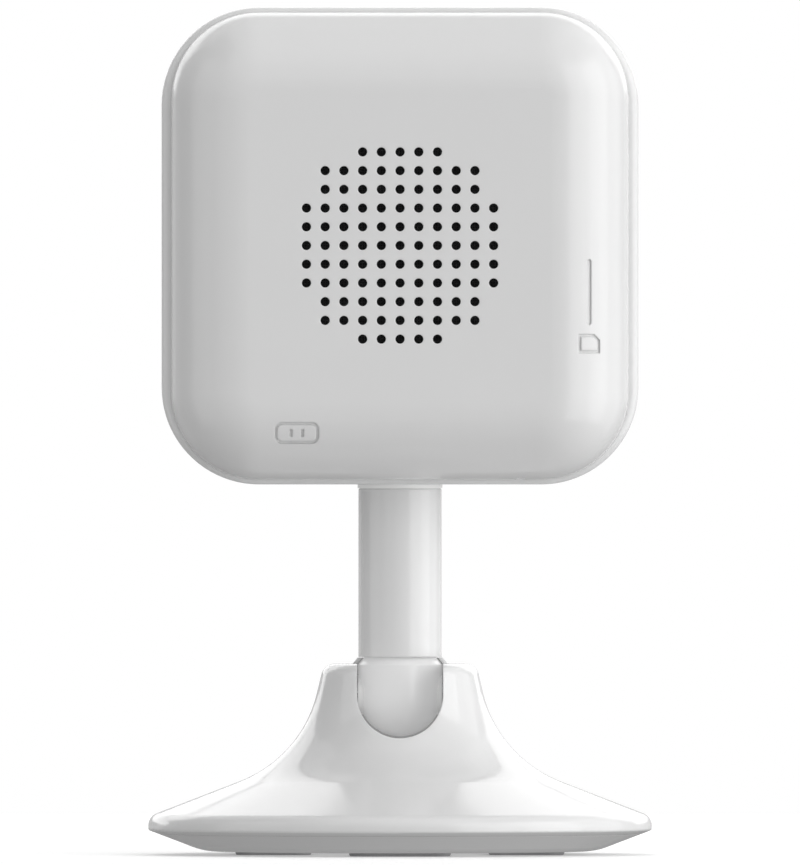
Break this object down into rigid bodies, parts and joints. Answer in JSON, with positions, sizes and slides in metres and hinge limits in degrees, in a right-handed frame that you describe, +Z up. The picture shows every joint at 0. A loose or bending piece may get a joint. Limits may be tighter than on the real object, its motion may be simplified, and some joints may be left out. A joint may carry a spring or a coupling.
{
  "type": "security camera",
  "caption": "Small indoor security camera: square rounded head on a short swivelling stem that folds back in a flared round base.",
  "frame": {"origin": "centre of the round base on the surface that its rubber feet stand on", "axes": "+Z up along the stem, the lens looks along -Y, +X to the right seen from the front"},
  "size_m": [0.0618, 0.0618, 0.1038],
  "materials": {
    "shell_white": "satin moulded",
    "stem_white": "satin moulded",
    "pad_rubber": "matt",
    "screw_steel": "zinc plated",
    "ballast_steel": "phosphated",
    "magnet_nickel": "nickel plated",
    "window_black": "polished",
    "trim_metal": "black anodised",
    "black_plastic": "fine texture",
    "lens_glass": "coated",
    "filter_glass": "coated",
    "board_green": "solder mask",
    "chip_black": "moulded",
    "led_clear": "clear resin",
    "shield_tin": "tin plated",
    "spreader_aluminium": "satin",
    "cone_black": "pressed film",
    "mesh_black": "woven",
    "gasket_foam": "foam",
    "lead_sheath": "smooth",
    "bush_white": "smooth"
  },
  "bodies": {
    "base": {"base_shell": "shell_white", "base_plate": "shell_white", "foot_pads": "pad_rubber", "base_screws": "screw_steel", "base_magnet": "magnet_nickel", "magnet_cup": "magnet_nickel", "ballast_ring": "ballast_steel", "hinge_pin": "screw_steel", "hinge_retainer": "shell_white", "retainer_screws": "screw_steel"},
    "stem": {"stem_tube": "stem_white", "hinge_knuckle": "stem_white", "hinge_washers": "bush_white", "swivel_spigot": "screw_steel", "swivel_stop_plate": "screw_steel", "swivel_spring_washer": "screw_steel", "swivel_clip": "screw_steel"},
    "head": {"swivel_bushing": "bush_white", "bushing_nut": "bush_white", "front_housing": "shell_white", "rear_cover": "shell_white", "front_window": "window_black", "lens_trim_ring": "trim_metal", "lens_barrel": "black_plastic", "lens_front_glass": "lens_glass", "lens_elements": "lens_glass", "lens_holder": "black_plastic", "ir_cut_motor": "black_plastic", "image_sensor": "chip_black", "sensor_board": "board_green", "board_screws": "screw_steel", "led_board": "board_green", "ir_leds": "led_clear", "light_sensor": "led_clear", "microphone": "shield_tin", "status_led": "led_clear", "light_pipe": "led_clear", "main_board": "board_green", "processor_shield": "shield_tin", "memory_chips": "chip_black", "board_connector": "black_plastic", "heat_spreader": "spreader_aluminium", "usb_socket": "shield_tin", "card_socket": "shield_tin", "reset_switch": "black_plastic", "speaker_frame": "ballast_steel", "speaker_magnet": "magnet_nickel", "speaker_gasket": "gasket_foam", "grille_mesh": "mesh_black", "wifi_antenna": "board_green", "antenna_plug": "shield_tin", "antenna_lead": "lead_sheath", "case_screws": "screw_steel"},
    "ir_cut": {"ir_cut_carriage": "black_plastic", "ir_cut_filters": "filter_glass"},
    "reset_button": {"reset_button": "bush_white"},
    "speaker_cone": {"speaker_cone": "cone_black"}
  },
  "joints": [
    {"name": "stem_tilt", "type": "hinge", "parent": "base", "child": "stem", "pos_m": [0, 0, 0.0196], "axis": [-1, 0, 0], "range_deg": [0, 90]},
    {"name": "head_swivel", "type": "hinge", "parent": "stem", "child": "head", "pos_m": [0, 0, 0.0454], "axis": [0, 0, 1], "range_deg": [-170, 170]},
    {"name": "ir_cut_slide", "type": "slide", "parent": "head", "child": "ir_cut", "axis": [1, 0, 0], "range_m": [0, 0.005]},
    {"name": "reset_press", "type": "slide", "parent": "head", "child": "reset_button", "axis": [0, 0, 1], "range_m": [0, 0.0003], "stiffness_N_per_m": 1500},
    {"name": "cone_stroke", "type": "slide", "parent": "head", "child": "speaker_cone", "axis": [0, 1, 0], "range_m": [-0.0002, 0.0002], "stiffness_N_per_m": 1500}
  ]
}
